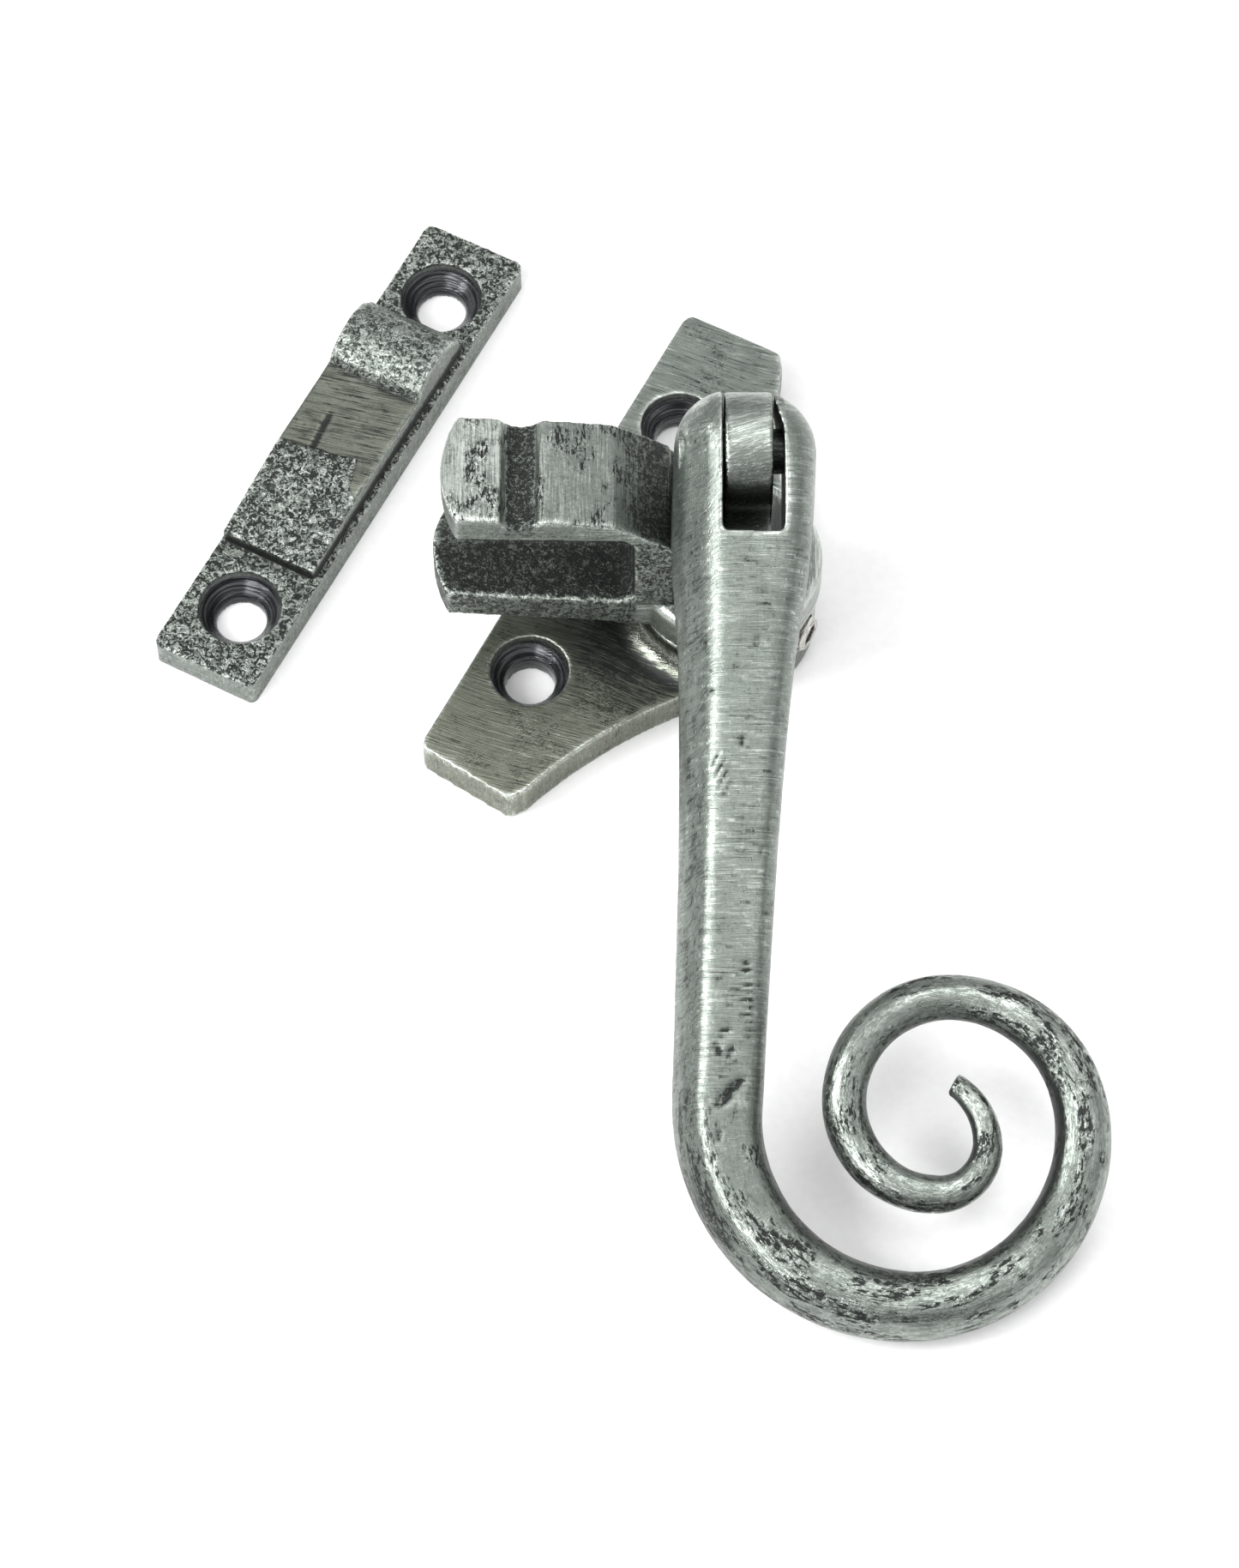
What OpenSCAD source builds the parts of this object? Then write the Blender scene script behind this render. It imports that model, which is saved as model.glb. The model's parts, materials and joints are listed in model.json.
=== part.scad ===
// Casement window fastener with a scrolled handle, a forked night-vent nose and its hook plate.
// Millimetres. The origin is midway between the base plate's two screw holes, on its underside.
// +Z stands off the window, +Y runs up both plates, and +X points away from the hook plate.

/* [Base plate] */
// Width of the base plate's two ends
base_w = 13; // [12:0.5:14]
// Length of the base plate
base_len = 67; // [64:1:72]
// Thickness of the base plate
base_t = 4.8; // [4.2:0.1:5.2]
// Distance between the base plate's screw holes
base_spacing = 37.6; // [36:0.2:40]
// Radius of the hollow flanks between the ends and the boss
flank_r = 60; // [50:1:90]
// Distance from the screw holes' line to the spindle's axis
spindle_x = 15.7; // [15:0.1:17]
// Radius of the boss that carries the spindle
boss_r = 10.4; // [10:0.1:11.2]
// Height of the boss's top face
boss_h = 9; // [8.8:0.1:9.2]

/* [Hook plate] */
// Width of the hook plate
hook_w = 13.2; // [12:0.2:14]
// Length of the hook plate
hook_len = 66.4; // [64:0.2:72]
// Thickness of the hook plate
hook_t = 4; // [3.8:0.1:4.4]
// Distance between the hook plate's screw holes
hook_spacing = 48.7; // [47:0.1:50]
// Centre line of the hook plate
hook_x = -34; // [-40:0.5:-30]
// Height of the seat that the nose bears on
seat_h = 7.4; // [6.8:0.1:8]
// Height of the stop at the upper end of the seat
stop_h = 9.9; // [9:0.1:10.4]

/* [Screw holes] */
// Diameter of the clearance hole for a screw
screw_d = 5.8; // [5:0.1:6]
// Diameter of the countersink in the base plate
base_sink_d = 9; // [8:0.1:9.6]
// Diameter of the countersink in the hook plate
hook_sink_d = 9.6; // [8:0.1:9.8]
// Depth of the straight recess above each countersink
sink_step = 1; // [0.4:0.1:1.2]

/* [Nose] */
// How far the nose stands open from its closed position, in degrees
rest_swing = 27.65; // [0:0.05:60]
// Half of the nose's width
nose_half_w = 6.8; // [6:0.1:7]
// Reach of the lower lip from the spindle's axis
lower_reach = 33.5; // [30:0.5:36]
// Reach of the upper lip from the spindle's axis
upper_reach = 32.2; // [29:0.2:33]
// Radius of the hub's round flange
flange_r = 10.9; // [10.6:0.1:12]
// Height of the pivot pin's axis
pin_z = 37; // [36.5:0.1:38]
// Thickness of the tongue that the handle turns on
tongue_t = 5.3; // [4.5:0.1:5.4]

/* [Handle] */
// How far the handle slopes down from level, in degrees
handle_slope = 20.7; // [19:0.1:20.7]
// Length of the straight shank, from the pin to the first bend
shank_len = 72; // [60:1:80]
// Lean of the shank towards the nose, in degrees
shank_lean = 2.6; // [0:0.1:4]
// Width of the slot between the handle's two ears
slot_w = 6.9; // [6.4:0.1:7.2]
// Length of the slot in front of the pin
slot_len = 10; // [9.8:0.1:11]

/* [Small parts] */
// Diameter of the spindle's shank
spindle_d = 8; // [7:0.5:8]
// Diameter of the handle's pivot pin
pin_d = 5; // [4:0.2:5.4]
// Outside diameter of the locking grub screw
grub_d = 4.5; // [4:0.1:4.9]
// Length of the locking grub screw
grub_len = 6.7; // [6.4:0.1:6.8]
// Size across the flats of the grub screw's socket
socket_w = 2.5; // [2:0.1:2.6]

/* [Hidden] */
$fn = 64;
slip = 0.05;        // radial clearance of each turning fit
gap = 0.1;          // end clearance between turning faces
over = 0.5;         // how far a cutter runs past the face that it cuts
steel_grey = "#8a908c";
dark_grey = "#6f7572";
bright_steel = "#b9babb";

corner_r = 1.3;     // corners of the base plate
end_skew = 1.1;     // how much further the lower end's outer corner reaches
fillet_r = 4;       // hollow fillet at the foot of the boss
recess_r = 7.2;     // recess under the boss, for the spindle's fixings
recess_h = 2.6;
grub_z = 5.6;       // height of the grub screw's axis
groove_r = 3.8;     // spindle radius at the relief groove that the grub screw bears in
groove_w = 3.4;
grub_end = spindle_x + boss_r + 0.6;

peen_z = 0.2;       // lowest point of the spindle's riveted end
peen_h = 0.5;
flat_washer_h = 0.7;
shoulder_z = peen_z + peen_h + flat_washer_h;
end_r = 2.6;        // spindle's reduced end
bearing_h = 0.85;
hub_z = boss_h + bearing_h + gap;
flange_h = 5.5;
spindle_top = hub_z + 4;

lip_r = 14;         // plan radius of the lips' blunt ends
slot_back = 10.6;   // distance from the spindle's axis to the end of the night-vent slot
slot_low = 16;      // height of the slot's floor at its end
slot_rise = 5.2;    // slope of the slot's floor in degrees, up towards the tip
slot_high = 28.9;   // height of the slot's roof
slot_corner = 2;    // radius of the slot's inner corners
bevel_v = -0.3;     // where the lead-in bevel of the lower lip starts
bevel_drop = 2.4;   // how far the bevel drops at the lip's edge
bevel_high = 8;     // how far above the bevel its cutter reaches
notch_u = 23.3;     // place of the groove across the upper lip
notch_z = 34.2;     // height of the middle of its round bottom
notch_r = 2.5;
neck_top = 26;
neck_half_w = 6.1;
tongue_u = -1.85;   // middle of the tongue
tongue_r = 6.5;
ear_r = 6.8;        // length of the handle's round end behind the pin
slot_u = -2.35;     // middle of the handle's slot
pin_mid = -1.5;     // middle of the handle's head
ear_corner = 0.9;   // radius of the inner corners of the handle's slot
pin_half = 7.3;     // half of the pin's length under its domed heads
pin_head_r = 2.6;
pin_head_h = 0.5;
bore_len = 30;      // length of the cutter for the pin's bore, which runs right through the handle

// Stations along the shank: distance from the pin, width and depth
SHANK = [
    [0, 15.8, 13.2], [8, 15.8, 13], [14, 15.2, 12.4], [22, 13.1, 11.2],
    [32, 11.9, 10.4], [44, 10.9, 10], [56, 10.4, 9.8], [shank_len, 9.9, 9.2]
];
// Arcs of the scroll, each tangent to the last: radius, turn and the rod's thickness at its end
SCROLL = [
    [20.8, 90 + shank_lean, 7.5], [18.9, 90, 6.1], [14.5, 90, 4.9], [11.4, 90, 4.9],
    [10, 90, 4.2], [5.5, 90, 3.2], [7.5, 60, 2.6]
];
ring_sides = 16;
roundness = 2.3;    // exponent of the rod's squarish section; 2 is a true ellipse

function signed_pow(x, p) = sign(x) * pow(abs(x), p);
function lerp(a, b, f) = a + (b - a) * f;
function total(list, n) = n <= 0 ? 0 : list[n - 1] + total(list, n - 1);

function polar(r, a) = r * [cos(a), sin(a)];

// Points along a circle's arc, about centre c, from angle a0 to a1
function arc(c, r, a0, a1, steps) = [for (k = [0:steps]) c + polar(r, lerp(a0, a1, k / steps))];

// Centre of the circle of radius r through a and b, on the right of the way from a to b
function arc_centre(a, b, r) =
    let (d = b - a, half = norm(d) / 2, rise = sqrt(r * r - half * half))
    (a + b) / 2 + [d[1], -d[0]] / norm(d) * rise;

// Angle of p as seen from c
function bearing(c, p) = atan2(p[1] - c[1], p[0] - c[0]);

module ring_cut(r, z0, z1) {
    translate([0, 0, z0]) cylinder(r = r, h = z1 - z0);
}

// A screw hole down through a plate of thickness t, with a countersink and a short straight recess
module screw_hole(t, sink_d) {
    cone_h = (sink_d - screw_d) / 2;
    ring_cut(screw_d / 2, -over, t + over);
    ring_cut(sink_d / 2, t - sink_step, t + over);
    translate([0, 0, t - sink_step - cone_h])
        cylinder(r1 = screw_d / 2, r2 = sink_d / 2, h = cone_h);
}

// ---- base plate ----

// One end and its hollow flank, which runs from the end's outer corner to a point just inside the boss.
// skew is how much further out that corner reaches than the other one
end_y = corner_r - base_len / 2;
function half_outline(skew) =
    let (corner_y = end_y - skew)
    let (from = [base_w / 2 + 0.4, corner_y], to = [spindle_x, 0] + polar(boss_r - 0.2, -42))
    let (c = arc_centre(from, to, flank_r))
    concat(
        arc([corner_r - base_w / 2, end_y], corner_r, 180, 270, 6),
        arc([base_w / 2 - corner_r, corner_y], corner_r, 270, 355, 6),
        arc(c, flank_r, bearing(c, from), bearing(c, to), 16),
        [[spindle_x, 0]]
    );
lower_half = half_outline(end_skew);
flipped = half_outline(0);
upper_half = [for (k = [len(flipped) - 2:-1:0]) [flipped[k][0], -flipped[k][1]]];

// The plate's outline stops inside the boss, which is a full cylinder of its own
module base_outline() {
    polygon(concat(lower_half, upper_half));
}

// Concave ring that blends the boss into the plate's top. Its arc runs a little way into both
module boss_fillet() {
    sunk = 0.15;
    rotate_extrude() difference() {
        translate([boss_r - 1, base_t - 1]) square(fillet_r + 1 - 2 * sunk);
        translate([boss_r + fillet_r - sunk, base_t + fillet_r - sunk]) circle(fillet_r);
    }
}

module base_plate() {
    color(steel_grey) difference() {
        union() {
            linear_extrude(base_t) base_outline();
            translate([spindle_x, 0, 0]) rotate([0, 0, 135]) cylinder(r = boss_r, h = boss_h);
            intersection() {
                translate([spindle_x, 0, 0]) rotate([0, 0, 45]) boss_fillet();
                linear_extrude(boss_h) base_outline();
            }
        }
        for (side = [-1, 1]) translate([0, side * base_spacing / 2, 0]) screw_hole(base_t, base_sink_d);
        translate([spindle_x, 0, 0]) {
            ring_cut(spindle_d / 2 + slip, -over, boss_h + over);
            ring_cut(recess_r, -over, recess_h);
        }
        translate([spindle_x, 0, grub_z]) rotate([0, 90, 0])
            cylinder(r = grub_d / 2 + slip, h = boss_r + over);
    }
}

// ---- hook plate ----

// Side view of the raised block: cast ramp, ground seat and rounded stop, as distance along Y and height
hook_low = -19.6;
seat_start = -7.5;
seat_end = 6;
hook_y = -2.2;
block_w = 12.2;

module block_side() {
    polygon([
        [hook_low, hook_t - over], [hook_low + 0.1, hook_t + 1.9], [seat_start, seat_h], [seat_end, seat_h],
        [seat_end + 0.5, seat_h + 1], [seat_end + 3, stop_h - 0.2], [seat_end + 6, stop_h],
        [seat_end + 8.4, stop_h - 1], [seat_end + 10.2, hook_t + 2.8], [seat_end + 10.8, hook_t - over]
    ]);
}

module hook_plate() {
    color(dark_grey) translate([hook_x, 0, 0]) difference() {
        union() {
            translate([-hook_w / 2, hook_y - hook_len / 2, 0]) cube([hook_w, hook_len, hook_t]);
            translate([block_w / 2 - 0.2, 0, 0]) rotate([90, 0, -90]) mirror([1, 0, 0])
                linear_extrude(block_w) block_side();
        }
        for (side = [-1, 1]) translate([0, hook_y + side * hook_spacing / 2, 0])
            screw_hole(hook_t, hook_sink_d);
    }
}

// ---- spindle and its fixings, about the spindle's axis ----

module bearing_washer() {
    color(bright_steel) translate([spindle_x, 0, boss_h]) difference() {
        cylinder(r = boss_r - 0.9, h = bearing_h);
        ring_cut(spindle_d / 2 + 0.3, -over, bearing_h + over);
    }
}

module spindle() {
    r = spindle_d / 2;
    color(bright_steel) translate([spindle_x, 0, 0]) rotate_extrude() polygon([
        [0, peen_z], [end_r + 0.8, peen_z], [end_r + 1.4, peen_z + peen_h / 2], [end_r + 1.4, peen_z + peen_h],
        [end_r, peen_z + peen_h], [end_r, shoulder_z], [r, shoulder_z], [r, grub_z - groove_w / 2],
        [groove_r, grub_z - groove_w / 2 + r - groove_r], [groove_r, grub_z + groove_w / 2 - r + groove_r],
        [r, grub_z + groove_w / 2], [r, spindle_top], [0, spindle_top]
    ]);
}

module retaining_washer() {
    color(bright_steel) translate([spindle_x, 0, peen_z + peen_h]) difference() {
        cylinder(r = recess_r - 0.9, h = flat_washer_h);
        ring_cut(end_r, -over, flat_washer_h + over);
    }
}

// Dished spring washer, which presses up on the roof of the recess
module spring_washer() {
    inner = spindle_d / 2 + 0.15;
    outer = recess_r - 0.7;
    sheet = 0.45;
    color(bright_steel) translate([spindle_x, 0, 0]) rotate_extrude() polygon([
        [inner, shoulder_z + slip], [outer, recess_h - gap - sheet],
        [outer, recess_h - gap], [inner, shoulder_z + slip + sheet]
    ]);
}

// The screw's socket is a hexagon of that size across its flats
module grub_screw() {
    color(bright_steel) translate([grub_end - grub_len, 0, grub_z]) rotate([0, 90, 0]) difference() {
        rotate_extrude() polygon([
            [0, 0], [grub_d / 2 - 1, 0], [grub_d / 2, 1], [grub_d / 2, grub_len - 0.4],
            [grub_d / 2 - 0.4, grub_len], [0, grub_len]
        ]);
        translate([0, 0, grub_len - 3]) cylinder(r = socket_w / sqrt(3), h = 3 + over, $fn = 6);
    }
}

// ---- nose: drawn pointing along +X from the spindle's axis, with the handle's side along +Y ----

module turned() {
    translate([spindle_x, 0, 0]) rotate([0, 0, 180 + rest_swing]) children();
}

// Stands a side view, drawn as distance from the axis and height, across the nose's width
module across(half) {
    translate([0, half, 0]) rotate([90, 0, 0]) linear_extrude(2 * half) children();
}

module lip_plan(reach) {
    intersection() {
        translate([0, -nose_half_w]) square([reach + 1, 2 * nose_half_w]);
        translate([reach - lip_r, 0]) circle(lip_r, $fn = 96);
    }
    translate([0, -nose_half_w]) square([reach - lip_r, 2 * nose_half_w]);
}

// The lips' inner faces run past the slot, which cuts them to shape
module lower_lip() {
    intersection() {
        across(nose_half_w) polygon([
            [0, hub_z + 0.6], [9, hub_z + 0.7], [17, 11.9], [lower_reach + 1, 13.5],
            [lower_reach + 1, slot_low + 3], [slot_back + slot_corner, slot_low + 1],
            [0, slot_low + 1]
        ]);
        linear_extrude(slot_high) lip_plan(lower_reach);
    }
}

module upper_lip() {
    intersection() {
        across(nose_half_w) polygon([
            [6.6, neck_top], [6.6, 27.6], [8.8, 29.2], [10.7, 30.6], [13, 32], [18, 32.7], [24, 33.2],
            [30, 33.6], [upper_reach + 1, 33], [upper_reach + 1, slot_high + 0.5],
            [slot_back + slot_corner, slot_high - 0.1], [slot_back + slot_corner, 20]
        ]);
        linear_extrude(pin_z) lip_plan(upper_reach);
    }
}

// Gap between the lips, with rounded inner corners
module vent_slot() {
    inner = slot_back + slot_corner;
    run = lower_reach - slot_back;
    across(nose_half_w + over) polygon(concat(
        arc([inner, slot_high - slot_corner], slot_corner, 90, 180, 6),
        arc([inner, slot_low + slot_corner], slot_corner, 180, 270, 6),
        [[inner + run, slot_low + run * tan(slot_rise)], [inner + run, slot_high + 0.3]]
    ));
}

// Lead-in on the back of the lower lip, sloping away from the middle
module lead_in() {
    edge = -nose_half_w - over;
    translate([slot_back + slot_corner, 0, slot_low]) rotate([0, -slot_rise, 0]) rotate([90, 0, 90])
        linear_extrude(lower_reach)
            polygon([[bevel_v + 0.2, 0.07], [edge, -bevel_drop], [edge, bevel_high], [bevel_v + 0.2, bevel_high]]);
}

// Web that carries both lips, as far out as the end of the slot
module web() {
    inner = slot_back + slot_corner;
    translate([0, -nose_half_w, hub_z + 1]) cube([inner, 2 * nose_half_w, slot_low - hub_z]);
    across(nose_half_w) polygon([
        [5.4, slot_low - 1], [inner, slot_low - 1], [inner, neck_top + 1], [6.6, neck_top + 1], [5.4, neck_top]
    ]);
}

// Neck that sweeps in from the flange to the foot of the tongue
module neck() {
    sweep = 6.5;
    right = tongue_u - tongue_t / 2;
    foot = hub_z + flange_h;
    intersection() {
        across(neck_half_w) polygon(concat(
            [[6, foot - 1], [6, neck_top], [tongue_u + tongue_t / 2 + 2, neck_top], [right, neck_top + 1]],
            arc([right - sweep, foot + sweep], sweep, 0, -85, 8),
            [[right - sweep, foot - 1]]
        ));
        translate([0, 0, foot - 2]) cylinder(r = flange_r - 0.5, h = neck_top);
    }
}

module tongue() {
    translate([tongue_u - tongue_t / 2, 0, 0]) {
        translate([0, 0, pin_z]) rotate([0, 90, 0]) cylinder(r = tongue_r, h = tongue_t);
        translate([0, -neck_half_w, neck_top - 1]) cube([tongue_t, 2 * neck_half_w, pin_z - neck_top + 1]);
    }
}

module hub_flange() {
    edge = 1;
    rotate_extrude() {
        translate([0, hub_z]) square([flange_r - edge, flange_h]);
        translate([0, hub_z]) square([flange_r, flange_h - edge]);
        translate([flange_r - edge, hub_z + flange_h - edge]) circle(edge);
    }
}

module nose() {
    color(dark_grey) turned() difference() {
        union() {
            hub_flange();
            neck();
            tongue();
            difference() {
                union() {
                    lower_lip();
                    upper_lip();
                    web();
                }
                vent_slot();
                lead_in();
            }
        }
        translate([notch_u, 0, notch_z]) rotate([90, 0, 0])
            cylinder(r = notch_r, h = 2 * nose_half_w + 2 * over, center = true);
        ring_cut(spindle_d / 2, hub_z - over, spindle_top);
        translate([tongue_u, 0, pin_z]) rotate([0, 90, 0])
            cylinder(r = pin_d / 2 + slip, h = tongue_t + 2 * over, center = true);
    }
}

// ---- handle: drawn flat, with the pin at its origin and the shank along +Y ----

module hung() {
    turned() translate([0, 0, pin_z]) rotate([-handle_slope, 0, 0]) children();
}

// Place and heading along the centre line. A heading turns the way from +Y towards -X
head_start = [pin_mid, 0];
function facing(h) = [-sin(h), cos(h)];
function arc_heading(i) = -shank_lean + total([for (a = SCROLL) a[1]], i);
function arc_point(i, turn) =
    let (h = arc_heading(i))
    arc_origin(i) + SCROLL[i][0] * [cos(h + turn) - cos(h), sin(h + turn) - sin(h)];
function arc_origin(i) = i == 0
    ? head_start + shank_len * facing(-shank_lean)
    : arc_point(i - 1, SCROLL[i - 1][1]);

// Rings as [centre, heading, width, depth]: round head end, shank, then the scroll's arcs
head_rings = [
    for (a = [-80:16:-16]) [
        head_start + [0, sin(a) * ear_r], -shank_lean, SHANK[0][1] * cos(a), SHANK[0][2] * cos(a)
    ]
];
shank_rings = [
    for (p = SHANK) [head_start + p[0] * facing(-shank_lean), -shank_lean, p[1], p[2]]
];
scroll_rings = [
    for (i = [0:len(SCROLL) - 1])
        let (steps = ceil(SCROLL[i][1] / 11))
        let (start = i == 0 ? SHANK[len(SHANK) - 1][1] : SCROLL[i - 1][2])
        for (k = [1:steps])
            let (f = k / steps, size = lerp(start, SCROLL[i][2], f))
            [arc_point(i, f * SCROLL[i][1]), arc_heading(i) + f * SCROLL[i][1], size, size * 0.97]
];
rings = concat(head_rings, shank_rings, scroll_rings);

// One point of a ring's squarish section
function ring_point(ring, a) =
    let (side = ring[2] / 2 * signed_pow(cos(a), 2 / roundness))
    let (p = ring[0] + side * [cos(ring[1]), sin(ring[1])])
    [p[0], p[1], ring[3] / 2 * signed_pow(sin(a), 2 / roundness)];

module swept_rod() {
    n = ring_sides;
    last = len(rings) - 1;
    points = [for (ring = rings, k = [0:n - 1]) ring_point(ring, k * 360 / n)];
    sides = [
        for (i = [0:last - 1], k = [0:n - 1])
            [i * n + k, i * n + (k + 1) % n, (i + 1) * n + (k + 1) % n, (i + 1) * n + k]
    ];
    caps = [[for (k = [n - 1:-1:0]) k], [for (k = [0:n - 1]) last * n + k]];
    polyhedron(points, concat(sides, caps), convexity = 8);
}

// Slot between the ears. It starts behind the head's round end
module ear_slot() {
    back = ear_r + 5;
    deep = 10;
    inner_w = slot_w - 2 * ear_corner;
    translate([slot_u, 0, -deep]) linear_extrude(2 * deep) {
        translate([-slot_w / 2, -back]) square([slot_w, slot_len + back - ear_corner]);
        translate([-inner_w / 2, -back]) square([inner_w, slot_len + back]);
        for (side = [-1, 1]) translate([side * inner_w / 2, slot_len - ear_corner]) circle(ear_corner);
    }
}

// Pin with two low domed heads, which sit in spot-faces in the ears
module pin_shape() {
    dome_r = (pin_head_r * pin_head_r + pin_head_h * pin_head_h) / (2 * pin_head_h);
    translate([pin_mid, 0, 0]) rotate([0, 90, 0]) {
        cylinder(r = pin_d / 2, h = 2 * pin_half - 1, center = true);
        for (flip = [0, 1]) mirror([0, 0, flip]) intersection() {
            translate([0, 0, pin_half - 1]) cylinder(r = pin_head_r, h = 3);
            translate([0, 0, pin_half + pin_head_h - dome_r]) sphere(dome_r);
        }
    }
}

module spot_faces() {
    translate([pin_mid, 0, 0]) rotate([0, 90, 0]) {
        cylinder(r = pin_d / 2, h = bore_len, center = true);
        for (flip = [0, 1]) mirror([0, 0, flip]) translate([0, 0, pin_half - 1]) cylinder(r = pin_head_r, h = 4);
    }
}

module handle() {
    color(steel_grey) hung() difference() {
        swept_rod();
        ear_slot();
        spot_faces();
    }
}

module knuckle_pin() {
    color(steel_grey) hung() pin_shape();
}

base_plate();
hook_plate();
bearing_washer();
grub_screw();
nose();
spindle();
spring_washer();
retaining_washer();
handle();
knuckle_pin();
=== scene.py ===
"""Looks of the casement window fastener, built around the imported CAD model.

Lengths inside the builders are millimetres in the row frame; every piece is scaled to metres when it is made.
"""

import json
import math

import bmesh
import bpy
import numpy as np
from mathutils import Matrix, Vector
from mathutils.kdtree import KDTree


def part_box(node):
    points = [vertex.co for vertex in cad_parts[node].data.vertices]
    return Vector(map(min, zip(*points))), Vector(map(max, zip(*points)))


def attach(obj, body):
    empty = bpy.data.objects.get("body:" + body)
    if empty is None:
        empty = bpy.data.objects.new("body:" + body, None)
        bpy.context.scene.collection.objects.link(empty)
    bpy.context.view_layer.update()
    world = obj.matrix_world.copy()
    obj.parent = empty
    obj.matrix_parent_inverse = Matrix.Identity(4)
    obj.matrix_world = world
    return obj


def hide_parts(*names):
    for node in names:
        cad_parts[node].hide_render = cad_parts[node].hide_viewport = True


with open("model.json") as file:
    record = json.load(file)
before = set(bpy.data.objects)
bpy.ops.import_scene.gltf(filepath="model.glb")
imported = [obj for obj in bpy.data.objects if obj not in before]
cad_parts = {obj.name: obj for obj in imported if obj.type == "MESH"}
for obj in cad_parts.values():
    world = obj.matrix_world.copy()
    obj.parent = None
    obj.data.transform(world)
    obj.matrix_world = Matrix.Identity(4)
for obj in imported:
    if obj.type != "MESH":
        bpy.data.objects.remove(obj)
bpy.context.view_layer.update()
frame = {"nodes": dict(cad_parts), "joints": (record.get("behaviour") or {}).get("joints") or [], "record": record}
MM = 0.001

# ---- places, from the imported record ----

JOINTS = {j["name"]: j for j in frame["joints"]}
SPINDLE = np.array(JOINTS["swivel"]["pos_m"]) / MM
PIN = np.array(JOINTS["handle_fold"]["pos_m"]) / MM
TO_NOSE = np.array(JOINTS["handle_fold"]["axis"])      # level, the way that the nose points
TO_HANDLE = np.cross([0.0, 0.0, 1.0], TO_NOSE)         # level, the way that the handle hangs


def span(node):
    """Lowest and highest corner of a CAD node, in millimetres."""
    low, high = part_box(node)
    return np.array(low) / MM, np.array(high) / MM


# ---- noise ----


def hashed(ix, iy, iz, seed):
    """A repeatable value from 0 to 1 for each lattice point."""
    n = (ix * 374761393 + iy * 668265263 + iz * 1274126177 + seed * 974634777) & 0xFFFFFFFF
    n = ((n ^ (n >> 13)) * 1274126177) & 0xFFFFFFFF
    n = ((n ^ (n >> 16)) * 2246822519) & 0xFFFFFFFF
    return ((n ^ (n >> 15)) & 0xFFFFFF) / 0xFFFFFF


def value_noise(p, seed=0):
    """Smooth noise from 0 to 1 at points p, with features about one unit across."""
    base = np.floor(p).astype(np.int64)
    f = p - base
    f = f * f * (3 - 2 * f)
    total = np.zeros(len(p))
    for dx in (0, 1):
        for dy in (0, 1):
            for dz in (0, 1):
                w = (
                    np.where(dx, f[:, 0], 1 - f[:, 0])
                    * np.where(dy, f[:, 1], 1 - f[:, 1])
                    * np.where(dz, f[:, 2], 1 - f[:, 2])
                )
                total += w * hashed(base[:, 0] + dx, base[:, 1] + dy, base[:, 2] + dz, seed)
    return total


def layered(p, size, octaves=3, seed=0):
    """Noise of that feature size in millimetres, with finer layers on it, centred on 0."""
    total, weight, norm = np.zeros(len(p)), 1.0, 0.0
    for k in range(octaves):
        total += weight * (value_noise(p / size * 2**k + 17.3 * k, seed + k) - 0.5)
        norm += weight
        weight *= 0.55
    return total / norm * 2


def step(x, low, high):
    """0 below low, 1 above high, smooth between them."""
    t = np.clip((x - low) / (high - low), 0, 1)
    return t * t * (3 - 2 * t)


# ---- mesh tools ----

# Share of the way to its neighbours' mean that a vertex moves in one round
ROUNDING_RATE = 0.6
BULGE_RATE = 0.7


def new_object(name, data):
    """A new object in the scene, for a mesh, a camera or a lamp."""
    obj = bpy.data.objects.new(name, data)
    bpy.context.scene.collection.objects.link(obj)
    return obj


def mesh_of(points, faces):
    mesh = bpy.data.meshes.new("made")
    mesh.from_pydata([tuple(p) for p in points], [], [tuple(f) for f in faces])
    mesh.update()
    return mesh


def cad_mesh(node):
    """A welded copy of a CAD node's mesh, in millimetres."""
    bm = bmesh.new()
    bm.from_mesh(frame["nodes"][node].data)
    bmesh.ops.scale(bm, vec=(1 / MM, 1 / MM, 1 / MM), verts=bm.verts)
    bmesh.ops.remove_doubles(bm, verts=bm.verts, dist=0.001)
    mesh = bpy.data.meshes.new("cad_copy")
    bm.to_mesh(mesh)
    bm.free()
    return mesh


def modified(mesh, kind, **settings):
    """The mesh after one modifier."""
    obj = new_object("work", mesh)
    mod = obj.modifiers.new("m", kind)
    for key, value in settings.items():
        setattr(mod, key, value)
    bpy.context.view_layer.update()
    made = bpy.data.meshes.new_from_object(obj.evaluated_get(bpy.context.evaluated_depsgraph_get()))
    bpy.data.objects.remove(obj)
    bpy.data.meshes.remove(mesh)
    return made


def voxels(mesh, size):
    return modified(mesh, "REMESH", mode="VOXEL", voxel_size=size, use_smooth_shade=True)


def points_of(mesh):
    co = np.zeros(len(mesh.vertices) * 3)
    mesh.vertices.foreach_get("co", co)
    return co.reshape(-1, 3)


def normals_of(mesh):
    no = np.zeros(len(mesh.vertices) * 3)
    mesh.vertices.foreach_get("normal", no)
    return no.reshape(-1, 3)


def set_points(mesh, points):
    mesh.vertices.foreach_set("co", points.astype(np.float32).ravel())
    mesh.update()


def edges_of(mesh):
    ends = np.zeros(len(mesh.edges) * 2, np.int64)
    mesh.edges.foreach_get("vertices", ends)
    return ends.reshape(-1, 2)


def neighbour_mean(values, ends):
    """For each vertex, the mean of its neighbours' values."""
    total = np.zeros_like(values)
    count = np.zeros(len(values))
    for a, b in ((0, 1), (1, 0)):
        np.add.at(total, ends[:, a], values[ends[:, b]])
        np.add.at(count, ends[:, a], 1)
    count = np.maximum(count, 1)
    return total / (count[:, None] if values.ndim > 1 else count)


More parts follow.
